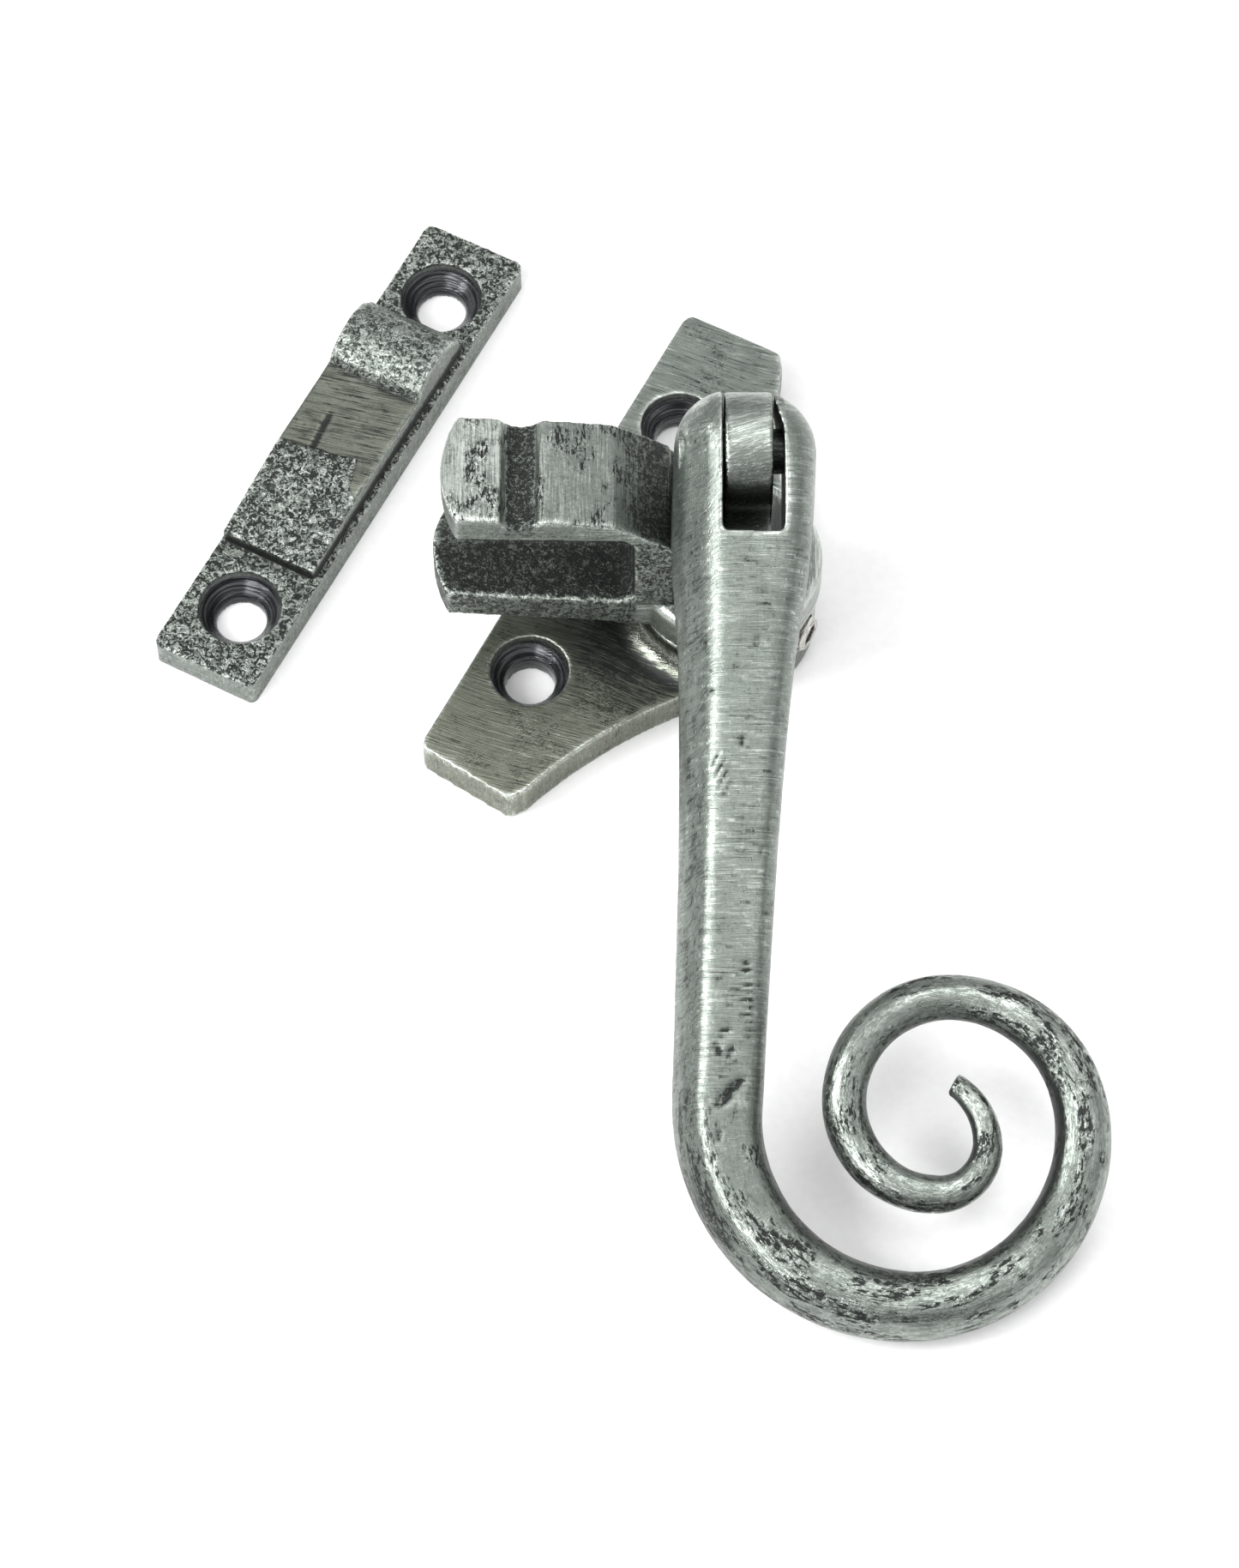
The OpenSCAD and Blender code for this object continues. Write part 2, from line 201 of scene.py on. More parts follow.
def smoothed(mesh, rounds, keep=None):
    """Rounds the mesh's edges. keep is 0 to 1 for each vertex, where 1 holds it still."""
    ends = edges_of(mesh)
    p = points_of(mesh)
    rate = ROUNDING_RATE if keep is None else ROUNDING_RATE * (1 - keep)[:, None]
    for _ in range(rounds):
        p = p + rate * (neighbour_mean(p, ends) - p)
    set_points(mesh, p)
    return mesh


def convexity(mesh, rounds=6):
    """Above 0 on outer edges and below 0 in hollows, in millimetres of bulge."""
    ends = edges_of(mesh)
    p = points_of(mesh)
    q = p.copy()
    for _ in range(rounds):
        q = q + BULGE_RATE * (neighbour_mean(q, ends) - q)
    return np.einsum("ij,ij->i", p - q, normals_of(mesh))


def store(mesh, name, values):
    """Keeps one number or one vector for each vertex, for the materials to read."""
    kind = "FLOAT_VECTOR" if values.ndim > 1 else "FLOAT"
    attribute = mesh.attributes.new(name, kind, "POINT")
    attribute.data.foreach_set("vector" if values.ndim > 1 else "value", values.astype(np.float32).ravel())


def finish_piece(name, mesh, body, material, nodes=()):
    """Scales a finished mesh to metres and hangs it on its body."""
    set_points(mesh, points_of(mesh) * MM)
    mesh.polygons.foreach_set("use_smooth", [True] * len(mesh.polygons))
    mesh.materials.clear()
    mesh.materials.append(material)
    piece = new_object(name, mesh)
    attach(piece, body)
    if nodes:
        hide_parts(*nodes)
    return piece


# ---- materials ----

PATINA = (0.017, 0.020, 0.018, 1)
GREY = (0.186, 0.208, 0.187, 1)
WARM_GREY = (0.190, 0.199, 0.160, 1)
RUBBED = (0.60, 0.64, 0.60, 1)
HOLE_DARK, HOLE_LIGHT = (0.020, 0.021, 0.023, 1), (0.112, 0.118, 0.122, 1)
STEEL_LIGHT, STEEL_DARK = (0.62, 0.61, 0.58, 1), (0.40, 0.39, 0.36, 1)
PAPER_LOW, PAPER_HIGH = (0.900, 0.900, 0.902, 1), (0.925, 0.925, 0.925, 1)
# Depth in metres of brush strokes, of the cast skin, of pits, and of turning lines
STROKE_DEPTH, SKIN_DEPTH, PIT_DEPTH, TURNING_DEPTH = 0.00009, 0.00028, 0.00006, 0.00002


class Nodes:
    """A short way to write the node tree of a material or of the world."""

    def __init__(self, owner):
        owner.use_nodes = True
        self.owner, self.tree = owner, owner.node_tree
        self.shader = self.tree.nodes.get("Principled BSDF")

    def add(self, kind, inputs=None, **settings):
        node = self.tree.nodes.new(kind)
        for key, value in settings.items():
            setattr(node, key, value)
        for key, value in (inputs or {}).items():
            self.put(node.inputs[key], value)
        return node

    def put(self, socket, value):
        if isinstance(value, bpy.types.NodeSocket):
            self.tree.links.new(value, socket)
        else:
            socket.default_value = value

    def number(self, operation, a, b, c=None, clamp=False):
        node = self.add("ShaderNodeMath", {0: a, 1: b}, operation=operation, use_clamp=clamp)
        if c is not None:
            self.put(node.inputs[2], c)
        return node.outputs[0]

    def plus(self, a, b):
        return self.number("ADD", a, b)

    def minus(self, a, b, clamp=False):
        return self.number("SUBTRACT", a, b, clamp=clamp)

    def times(self, a, b):
        return self.number("MULTIPLY", a, b)

    def between(self, value, low, high, to_low=0.0, to_high=1.0):
        node = self.add(
            "ShaderNodeMapRange",
            {"Value": value, "From Min": low, "From Max": high, "To Min": to_low, "To Max": to_high},
            interpolation_type="SMOOTHSTEP",
        )
        return node.outputs["Result"]

    def mix(self, factor, a, b):
        node = self.add("ShaderNodeMix", data_type="RGBA")
        self.put(node.inputs["Factor"], factor)
        self.put(node.inputs[6], a)
        self.put(node.inputs[7], b)
        return node.outputs[2]

    def blend_numbers(self, factor, a, b):
        return self.number("MULTIPLY_ADD", self.minus(b, a), factor, a)

    def stored(self, name, output="Fac"):
        return self.add("ShaderNodeAttribute", attribute_name=name).outputs[output]

    def place_mm(self):
        """The point's own place on its piece, in millimetres."""
        return self.scaled(self.add("ShaderNodeTexCoord").outputs["Object"], 1 / MM, 1 / MM, 1 / MM)

    def scaled(self, vector, x, y, z):
        return self.add("ShaderNodeVectorMath", {0: vector, 1: (x, y, z)}, operation="MULTIPLY").outputs[0]

    def noise(self, vector, scale, detail=3.0, roughness=0.55, distortion=0.0):
        node = self.add(
            "ShaderNodeTexNoise",
            {
                "Vector": vector, "Scale": scale, "Detail": detail,
                "Roughness": roughness, "Distortion": distortion,
            },
        )
        return node.outputs["Fac"]

    def bump(self, height, distance, strength=1.0, normal=None):
        node = self.add("ShaderNodeBump", {"Height": height, "Distance": distance, "Strength": strength})
        if normal is not None:
            self.put(node.inputs["Normal"], normal)
        return node.outputs["Normal"]


def pewter():
    """Patinated steel: dark in its hollows and pits, brushed bright on its high spots.

    It reads these from each vertex: worn (0 dark, from patina and from the painted shade some pieces add, to 1
    polished), cast (how rough the skin is), gloss (0 satin to 1 mirror), hole (1 in the glossy black of a screw hole),
    pitted (elongated pits), warm (a yellower grey), and two vectors in millimetres whose first axis runs along the
    brush strokes: grain, and flow, which takes over where lengthwise is 1.
    """
    n = Nodes(bpy.data.materials.new("pewter"))
    place = n.place_mm()
    grain, flow = n.stored("grain", "Vector"), n.stored("flow", "Vector")
    worn, cast, gloss, hole, pitted, warm, lengthwise = (
        n.stored(k) for k in ("worn", "cast", "gloss", "hole", "pitted", "warm", "lengthwise")
    )

    def strokes(vector):
        broad = n.noise(n.scaled(vector, 0.20, 2.9, 2.9), 1.0, 3.0, 0.72)
        fine = n.noise(n.scaled(vector, 0.30, 8.5, 8.5), 1.0, 2.0, 0.65)
        return n.plus(n.times(broad, 0.45), n.times(fine, 0.55))

    stroke = n.blend_numbers(lengthwise, strokes(grain), strokes(flow))
    cloud = n.noise(place, 0.22, 3.0, 0.6)
    blotch = n.noise(place, 0.8, 4.0, 0.65)
    bumps = n.noise(place, 1.6, 4.0, 0.62, 1.3)
    grit = n.noise(place, 5.5, 3.0, 0.75)
    dents = n.noise(n.scaled(flow, 0.95, 3.0, 3.0), 1.0, 3.0, 0.65, 0.3)

    # how bright the metal is, from 0 in the patina and in painted shade to 1 where it is rubbed clean
    smooth = n.minus(1.0, cast, clamp=True)
    stroke_light = n.times(n.minus(stroke, 0.5), n.number("MULTIPLY_ADD", smooth, 1.5, 0.4))
    stroke_light = n.times(stroke_light, n.number("MULTIPLY_ADD", lengthwise, -0.8, 1.0))
    level = n.plus(worn, stroke_light)
    level = n.plus(level, n.times(n.minus(cloud, 0.5), 0.40))
    level = n.minus(level, n.between(blotch, 0.56, 0.70, 0.0, 0.16))
    crevice = n.times(cast, n.between(bumps, 0.44, 0.54, 1.0, 0.0))
    level = n.minus(level, n.times(crevice, 0.80))
    level = n.plus(level, n.times(cast, n.between(grit, 0.34, 0.66, -0.18, 0.34)))
    pits = n.times(n.between(dents, 0.525, 0.55), pitted)
    specks = n.times(n.between(grit, 0.655, 0.72), smooth)
    level = n.minus(level, n.times(pits, 1.15))
    level = n.minus(level, n.times(specks, 0.45), clamp=True)

    colour = n.mix(n.between(level, 0.0, 0.44), PATINA, n.mix(warm, GREY, WARM_GREY))
    colour = n.mix(n.between(level, 0.46, 1.05), colour, RUBBED)
    turning = n.noise(n.scaled(place, 0.15, 0.15, 5.0), 1.0, 2.0, 0.6)
    lacquer = n.mix(n.between(turning, 0.42, 0.62), HOLE_DARK, HOLE_LIGHT)
    colour = n.mix(hole, colour, lacquer)
    n.put(n.shader.inputs["Base Color"], colour)

    metal = n.between(level, 0.0, 0.30, 0.65, 1.0)
    n.put(n.shader.inputs["Metallic"], n.times(metal, n.between(hole, 0, 1, 1.0, 0.7)))
    roughness = n.between(level, 0.0, 1.0, 0.44, 0.31)
    roughness = n.minus(roughness, n.times(gloss, 0.18))
    roughness = n.minus(roughness, n.times(hole, 0.20), clamp=True)
    n.put(n.shader.inputs["Roughness"], roughness)

    lines = n.bump(n.times(stroke, smooth), STROKE_DEPTH, 0.8)
    skin = n.plus(bumps, n.times(grit, 0.35))
    rough = n.bump(n.times(skin, cast), SKIN_DEPTH, 0.9, lines)
    sunk = n.minus(0.0, n.number("MAXIMUM", pits, specks))
    n.put(n.shader.inputs["Normal"], n.bump(sunk, PIT_DEPTH, 0.9, rough))
    return n.owner


def bright_steel():
    """Machined steel, turned or rolled, with a faint warm oil film."""
    n = Nodes(bpy.data.materials.new("bright_steel"))
    place = n.place_mm()
    smear = n.noise(place, 0.6, 4.0, 0.6)
    lines = n.noise(n.scaled(place, 1.0, 1.0, 14.0), 1.2, 2.0, 0.5)
    colour = n.mix(n.between(smear, 0.35, 0.7), STEEL_LIGHT, STEEL_DARK)
    n.put(n.shader.inputs["Base Color"], colour)
    n.shader.inputs["Metallic"].default_value = 1.0
    n.put(n.shader.inputs["Roughness"], n.between(smear, 0.3, 0.7, 0.24, 0.4))
    n.put(n.shader.inputs["Normal"], n.bump(lines, TURNING_DEPTH, 0.5))
    return n.owner


PEWTER = pewter()
STEEL = bright_steel()

# ---- plates ----

# Millimetres between the points of each remeshed piece
VOXEL = {"hook_plate": 0.2, "base_plate": 0.24, "nose": 0.23, "handle": 0.285, "knuckle_pin": 0.16}
UNDERSIDE = 0.15
# Height of each plate's top and radius of its countersinks
HOOK_TOP, HOOK_SINK_R = 4.0, 4.8
BASE_TOP, BASE_SINK_R = 4.8, 4.5
# What the pewter reads where a piece says nothing else
LOOKS = {"worn": 0.6, "cast": 0.1, "gloss": 0.0, "hole": 0.0, "pitted": 0.0, "warm": 0.0, "lengthwise": 0.0}


def stored_looks(mesh, grain, flow=None, **looks):
    """Keeps what the pewter reads from each vertex."""
    store(mesh, "grain", grain)
    store(mesh, "flow", grain if flow is None else flow)
    for name, usual in LOOKS.items():
        store(mesh, name, np.zeros(len(grain)) + looks.get(name, usual))


def rough_skin(mesh, cast, depth=0.10, size=0.85, seed=3):
    """Presses a cast skin into the mesh, deepest where cast is 1. Returns how low each point lies, 0 to 1."""
    p, no = points_of(mesh), normals_of(mesh)
    skin = layered(p, size, 3, seed)
    set_points(mesh, p + no * (cast * depth * skin)[:, None])
    return step(-skin, -0.1, 0.5)


def near_axis(p, x, y):
    return np.hypot(p[:, 0] - x, p[:, 1] - y)


def screw_holes(p, centres, top, sink_r):
    """1 inside the countersunk holes, 0 elsewhere."""
    inside = np.zeros(len(p))
    for x, y in centres:
        r = near_axis(p, x, y)
        inside = np.maximum(inside, (1 - step(r, sink_r - 0.15, sink_r + 0.1)) * (1 - step(p[:, 2], top - 0.3, top)))
    return inside


def mount(name):
    return next(m for m in frame["record"]["mounts"] if m["name"] == name)


def hole_centres(name):
    m = mount(name)
    x, y, _ = np.array(m["pos_m"]) / MM
    half = m["dims"]["spacing_y_mm"] / 2
    return [(x, y - half), (x, y + half)]


def plate_grain(p, no, degrees):
    """Strokes across a plate's top at that angle, and up and down its walls."""
    a = np.radians(degrees)
    along = p[:, 0] * np.cos(a) + p[:, 1] * np.sin(a)
    across = -p[:, 0] * np.sin(a) + p[:, 1] * np.cos(a)
    wall = np.abs(no[:, 2]) < 0.5
    first = np.where(wall, p[:, 2], along)
    second = np.where(wall, p[:, 0] + p[:, 1], across)
    return np.stack([first, second, p[:, 2] * 0.3], 1)


def held_below(p, height):
    """1 below that height, 0 a little above it: keeps a flat underside crisp."""
    return 1 - step(p[:, 2], height, height + 0.4)


def rounded_plan(p, low, high, corner):
    """Draws the upright corners of a box in to that radius."""
    middle, half = (low + high) / 2, (high - low) / 2
    away = p[:, :2] - middle[:2]
    past = np.maximum(np.abs(away) - (half[:2] - corner), 0)
    reach = np.maximum(np.hypot(past[:, 0], past[:, 1]), corner)
    p = p.copy()
    p[:, :2] -= np.sign(away) * past * (1 - corner / reach)[:, None]
    return p


# Ragged end of the ground seat: place across the hook plate, and place along it
SEAT_END = [(-40.4, -6.2), (-36.8, -5.6), (-33.0, -5.0), (-30.6, -4.3), (-30.0, -6.6), (-29.6, -8.5), (-28.0, -9.6)]
SEAT_STOP = 6.1
BLOCK_Z = 5.2
HOOK_CORNER = 1.1
HOOK_BRUSH_DEGREES = 14
# A scratch down the seat: a point on it, and the direction across it
SCRATCH_AT = (-36.6, 0.3)
SCRATCH_ACROSS = (0.996, 0.091)


def hook_plate():
    mesh = voxels(cad_mesh("hook_plate"), VOXEL["hook_plate"])
    set_points(mesh, rounded_plan(points_of(mesh), *span("hook_plate"), HOOK_CORNER))
    mesh = smoothed(mesh, 7, held_below(points_of(mesh), UNDERSIDE))
    p, no = points_of(mesh), normals_of(mesh)
    top = no[:, 2]
    x, y, z = p.T
    end_x, end_y = np.array(SEAT_END).T
    ragged = np.interp(x, end_x, end_y) + 0.5 * layered(p, 1.6, 3, 11)
    block = (z > BLOCK_Z) * 1.0
    past_end = step(y, ragged, ragged + 0.25)
    past_stop = step(y, SEAT_STOP - 0.4, SEAT_STOP)
    on_seat = past_end * (1 - past_stop) * block * step(top, 0.3, 0.7)
    ramp = (1 - past_end) * block * step(top, 0.3, 0.7)
    near_end = ramp * (1 - step(np.abs(y - ragged), 0.8, 2.2))
    beside = np.abs((x - SCRATCH_AT[0]) * SCRATCH_ACROSS[0] + (y - SCRATCH_AT[1]) * SCRATCH_ACROSS[1])
    scratch = (1 - step(beside, 0.1, 0.6)) * on_seat * step(-y, -0.6, 1.0)
    p[:, 2] -= 0.14 * scratch
    # the seat is ground a little below the ramp
    p[:, 2] -= 0.16 * on_seat * step(y, -10, 1) + 0.10 * ramp * step(-layered(p, 2.2, 2, 13), 0.1, 0.5)
    set_points(mesh, p)
    wall = 1 - step(top, 0.2, 0.6)
    stop = past_stop * block
    cast = np.clip(1 - on_seat, 0.06, 1) * (1 - 0.80 * wall) * (1 - 0.35 * stop)
    hole = screw_holes(p, hole_centres("hook_screws"), HOOK_TOP, HOOK_SINK_R)
    cast = cast * (1 - hole)
    lowness = rough_skin(mesh, cast, 0.11, 0.62, 3)
    edge = convexity(mesh, 9)
    worn = 0.57 + 2.7 * np.clip(edge, -0.3, 0.22) - 0.22 * cast * lowness - 0.26 * on_seat
    worn = worn + 0.02 * stop - 0.10 * wall - 0.2 * scratch
    worn = worn - 0.30 * near_end * step(layered(p, 1.3, 2, 15), -0.1, 0.3)
    # painted shade: the foot of the block's walls, just above the plate, is darkened as the shadow in the crease
    wall_foot_shade = wall * step(z, 4.1, 4.4) * (1 - step(z, 5.0, 6.0))
    worn = worn - 0.60 * wall_foot_shade
    stored_looks(
        mesh, plate_grain(p, no, HOOK_BRUSH_DEGREES), worn=worn, cast=cast, gloss=0.15 * wall, hole=hole,
        warm=0.6 * on_seat,
    )
    return finish_piece("hook_plate_finished", mesh, "hook_plate", PEWTER, ["hook_plate"])


def base_plate():
    mesh = voxels(cad_mesh("base_plate"), VOXEL["base_plate"])
    mesh = smoothed(mesh, 4, held_below(points_of(mesh), UNDERSIDE))
    p, no = points_of(mesh), normals_of(mesh)
    hole = screw_holes(p, hole_centres("base_screws"), BASE_TOP, BASE_SINK_R)
    cast = (0.04 + 0.22 * step(layered(p, 4, 3, 5), 0.05, 0.5)) * (1 - hole)
    rough_skin(mesh, 0.25 + cast, 0.05, 1.4, 7)
    r = near_axis(p, SPINDLE[0], SPINDLE[1])
    fillet = step(p[:, 2], 4.95, 5.6) * (1 - step(p[:, 2], 8.2, 8.8)) * (1 - step(r, 13.0, 14.2))
    edge = convexity(mesh, 10)
    worn = 0.42 + 3.4 * np.clip(edge, -0.05, 0.2) + 0.22 * fillet
    # painted shade: the top near the spindle, under the overhanging nose, is darkened
    worn = worn - 0.36 * (1 - step(r, 12, 24)) * step(no[:, 2], 0.7, 0.9)
    fan = 8 + 9 * layered(p, 14, 2, 17)
    stored_looks(
        mesh, plate_grain(p, no, fan), worn=worn, cast=cast, gloss=0.9 * fillet + 0.1, hole=hole,
        warm=step(-p[:, 1], -10, 25),
    )
    return finish_piece("base_plate_finished", mesh, "base", PEWTER, ["base_plate"])


# ---- nose ----

# Reach along the nose of the groove's middle and of the tongue's middle
GROOVE_U = 23.3
TONGUE_U = -1.85


def in_turret(p):
    """Points about the spindle: reach along the nose, distance towards the handle, and height."""
    q = p - [SPINDLE[0], SPINDLE[1], 0]
    return np.stack([q @ TO_NOSE, q @ TO_HANDLE, p[:, 2]], 1)


def nose():
    mesh = smoothed(voxels(cad_mesh("nose"), VOXEL["nose"]), 5)
    p, no = points_of(mesh), normals_of(mesh)
    q = in_turret(p)
    u, v, z = q.T
    up = no[:, 2]
    front_face = step(v, 6.1, 6.7)
    upper = step(z, 29.5, 30.5) * step(u, 5, 7)
    groove = upper * step(up, -0.2, 0.3) * (1 - step(np.abs(u - GROOVE_U), 1.2, 1.9)) * (1 - step(z, 33.2, 33.7))
    vent = step(u, 10.4, 11.4) * step(z, 13, 14) * (1 - step(z, 28.2, 29.0)) * (1 - step(np.abs(v), 6.2, 6.8))
    bevel = vent * step(-v, -0.2, 0.4)
    above_neck = step(z, 28, 29) * (1 - step(u, 1.2, 2.5))
    root = step(up, 0.2, 0.6) * step(z, 25, 27) * (1 - step(u, 8, 14)) * (1 - above_neck)
    # painted shade: the neck beneath the handle, seen through the slot's gap, is darkened as the handle's shadow,
    # broken up by noise
    under_handle_shade = step(u, -10.5, -7.5) * (1 - step(u, 1.5, 4.5)) * (1 - step(v, 5.0, 8.0)) * step(v, -9.0, -5.5)
    under_handle_shade = under_handle_shade * step(z, 14.6, 17.5) * (1 - step(z, 23.5, 29.5)) * (0.85 + 0.5 * layered(q, 2.0, 3, 23))
    web = front_face * (1 - step(u, 11.0, 12.6)) * step(z, 17, 20) * (1 - step(z, 28, 29))
    flange = (1 - step(z, 15.2, 15.9)) * (1 - step(u, 10.2, 10.8))
    tongue = step(z, 27.5, 29) * (1 - step(u, 1.2, 2.5))
    # painted shade: the tongue's sides are darkened as they go down into the slot's shadow
    tongue_side_shade = tongue * step(np.abs(u - TONGUE_U), 2.0, 2.7)
    lip_top = upper * step(up, 0.4, 0.8) * (1 - groove) * (1 - root)
    patches = step(layered(np.stack([u, v * 0.6, z], 1), 2.4, 3, 9), -0.05, 0.35)
    cast = 0.16 + 0.1 * patches
    cast = np.maximum.reduce([
        cast, groove * 0.9, 0.95 * vent, 0.55 * root, 0.95 * web, 0.45 * lip_top * patches,
        0.7 * front_face * (1 - step(z, 27, 29)), 0.3 * front_face,
    ])
    cast = cast * (1 - 0.9 * flange) * (1 - 0.85 * tongue)
    lowness = rough_skin(mesh, cast, 0.08, 0.6, 21)
    edge = convexity(mesh, 8)
    rim = step(edge, 0.03, 0.10)
    worn = 0.56 + 3.0 * np.clip(edge, -0.22, 0.20) - 0.2 * cast * lowness
    worn = worn + 0.20 * lip_top * step(u, 20, 26) - 0.06 * lip_top * (1 - step(u, 14, 22))
    worn = worn - 0.36 * groove - 0.42 * vent * (1 - rim) + 0.12 * bevel * step(u, 26, 31)
    worn = worn - 0.38 * root - 0.04 * web - 0.06 * front_face * (1 - web) * step(u, 9, 13) - 0.32 * tongue_side_shade
    worn = worn + 0.18 * flange - 0.62 * under_handle_shade * (1 - root)
    grain = np.stack([np.where(np.abs(up) > 0.5, v, u), np.where(np.abs(up) > 0.5, u, z), z * 0.3], 1)
    grain = np.where((tongue > 0.5)[:, None], np.stack([u * 0.9 + v * 0.3, v - u * 0.3, z], 1), grain)
    stored_looks(
        mesh, grain, flow=np.stack([v, u, z], 1), worn=worn, cast=cast,
        gloss=0.3 * tongue + 0.3 * flange + 0.5 * step(edge, 0.04, 0.12), pitted=0.75 * lip_top * patches,
    )
    return finish_piece("nose_finished", mesh, "nose", PEWTER, ["nose"])


# ---- handle: drawn flat about the pin, +X towards the nose, +Y along the shank, +Z outwards ----

SLOPE = math.radians(20.7)
SHANK_LEN = 72.0
SHANK_LEAN = math.radians(2.6)
HEAD_X = -1.5
EAR_R = 6.8
SLOT_X = -2.35
SLOT_W = 6.7
SLOT_LEN = 9.9
ROD_SIDES = 80
# Lengths along the rod between which the brushed shank gives way to the pitted scroll, and facets to a round rod
CURL_FROM, CURL_FULL = 66, 92
ROUND_FROM, ROUND_FULL = 64, 104
# Distance from the pin, width and depth
SHANK = [
    (0, 15.9, 13.2), (8, 15.9, 13.0), (14, 15.3, 12.4), (22, 13.2, 11.2),
    (32, 12.0, 10.4), (44, 11.0, 10.0), (56, 10.5, 9.8), (SHANK_LEN, 10.0, 9.2),
]
# Tangent arcs: radius, turn in degrees, and the rod's thickness at the arc's end
SCROLL = [
    (20.8, 92.6, 7.6), (18.9, 90, 6.2), (14.5, 90, 5.0), (11.4, 90, 5.0), (10.0, 90, 4.3), (5.5, 90, 3.3),
    (7.5, 60, 2.6),
]
# Corners of the shank's hand-forged section, as shares of its half width and half depth
FACETS = [
    (0.18, 1.00), (0.33, 0.965), (0.46, 0.87), (0.80, 0.42), (1.00, -0.15), (0.78, -0.80),
    (0.25, -1.00), (-0.45, -0.98), (-0.88, -0.66), (-1.00, 0.02), (-0.95, 0.62), (-0.74, 0.95),
]
# Tool marks on the shank's top: place in x and y, length, width, turn in degrees, depth
MARKS = [
    (1.9, 34.8, 2.0, 0.26, 60, 0.15), (1.5, 35.9, 2.2, 0.26, 62, 0.16), (1.1, 37.0, 2.2, 0.26, 63, 0.15),
    (0.7, 38.1, 1.9, 0.26, 60, 0.13), (-1.0, 33.0, 1.4, 0.45, 80, 0.10), (-1.4, 57.5, 2.2, 1.0, 92, 0.15),
    (-1.6, 61.0, 4.4, 1.3, 88, 0.17), (-1.9, 64.6, 2.0, 0.9, 95, 0.15), (1.0, 64.4, 1.8, 0.8, 40, 0.18),
    (1.8, 66.3, 1.6, 0.7, 110, 0.18), (0.4, 66.6, 1.5, 0.6, 60, 0.16), (0.6, 71.0, 4.2, 0.95, 45, 0.20),
    (0.1, 70.8, 3.8, 0.35, 50, 0.16), (1.6, 75.6, 1.4, 0.6, 90, 0.14), (2.4, 78.0, 1.5, 0.5, 70, 0.12),
    (-3.0, 45.0, 1.4, 0.35, 75, 0.08), (2.6, 27.5, 1.0, 0.5, 20, 0.08), (-2.6, 22.0, 1.3, 0.4, 85, 0.07),
]

# The long dents beside the middle are rows of short nicks: their middle, half their reach, and how close they are
NICKS_Y = 61
NICKS_REACH = 5.2
NICKS_PER_MM = 1.25


def centre_line(spacing=0.35):
    """Rows of x, y, heading, width, depth and length along, from the head's round end to the scroll's tip."""
    rows = []
    lengths, widths, depths = np.array(SHANK).T
    for a in np.radians(np.arange(-86, 0, 3.5)):
        full = math.cos(a) ** 0.85
        rows.append((HEAD_X, math.sin(a) * EAR_R, -SHANK_LEAN, widths[0] * full, depths[0] * full, math.sin(a) * EAR_R))
    along = np.arange(0, SHANK_LEN, spacing)
    width = np.interp(along, lengths, widths)
    depth = np.interp(along, lengths, depths)
    for _ in range(40):
        width[1:-1] = (width[:-2] + width[1:-1] + width[2:]) / 3
        depth[1:-1] = (depth[:-2] + depth[1:-1] + depth[2:]) / 3
    for s, w, d in zip(along, width, depth):
        rows.append((HEAD_X + math.sin(SHANK_LEAN) * s, math.cos(SHANK_LEAN) * s, -SHANK_LEAN, w, d, s))
    x = HEAD_X + math.sin(SHANK_LEAN) * SHANK_LEN
    y = math.cos(SHANK_LEAN) * SHANK_LEN
    heading, s, size = -SHANK_LEAN, SHANK_LEN, widths[-1]
    for radius, turn, end_size in SCROLL:
        turn = math.radians(turn)
        count = int(radius * turn / spacing)
        cx, cy = x - radius * math.cos(heading), y - radius * math.sin(heading)
        for k in range(count):
            f = k / count
            h = heading + f * turn
            w = size + (end_size - size) * f
            rows.append((cx + radius * math.cos(h), cy + radius * math.sin(h), h, w, w * 0.95, s + f * radius * turn))
        heading += turn
        x, y = cx + radius * math.cos(heading), cy + radius * math.sin(heading)
        s += radius * turn
        size = end_size
    rows.append((x, y, heading, size, size * 0.95, s))
    return np.array(rows)


def section(count, soft):
    """The forged section as count points: flat facets between corners, drawn towards a circle by soft."""
    corners = np.array(FACETS)
    angles = np.degrees(np.arctan2(corners[:, 1], corners[:, 0])) % 360
    order = np.argsort(angles)
    corners, angles = corners[order], angles[order]
    out = []
    for a in np.arange(count) * 360 / count:
        d = np.array([math.cos(math.radians(a)), math.sin(math.radians(a))])
        k = np.searchsorted(angles, a) % len(angles)
        c0, c1 = corners[k - 1], corners[k]
        e = c1 - c0
        t = (c0[0] * e[1] - c0[1] * e[0]) / (d[0] * e[1] - d[1] * e[0])
        out.append(d * (t * (1 - soft) + soft))
    out = np.array(out)
    for _ in range(2):
        out = (np.roll(out, 1, 0) + 2 * out + np.roll(out, -1, 0)) / 4
    return out


def hung(p):
    """Points drawn flat about the pin, put where the handle hangs."""
    down = TO_HANDLE * math.cos(SLOPE) - np.array([0, 0, math.sin(SLOPE)])
    out = TO_HANDLE * math.sin(SLOPE) + np.array([0, 0, math.cos(SLOPE)])
    return PIN + p[:, :1] * TO_NOSE + p[:, 1:2] * down + p[:, 2:] * out


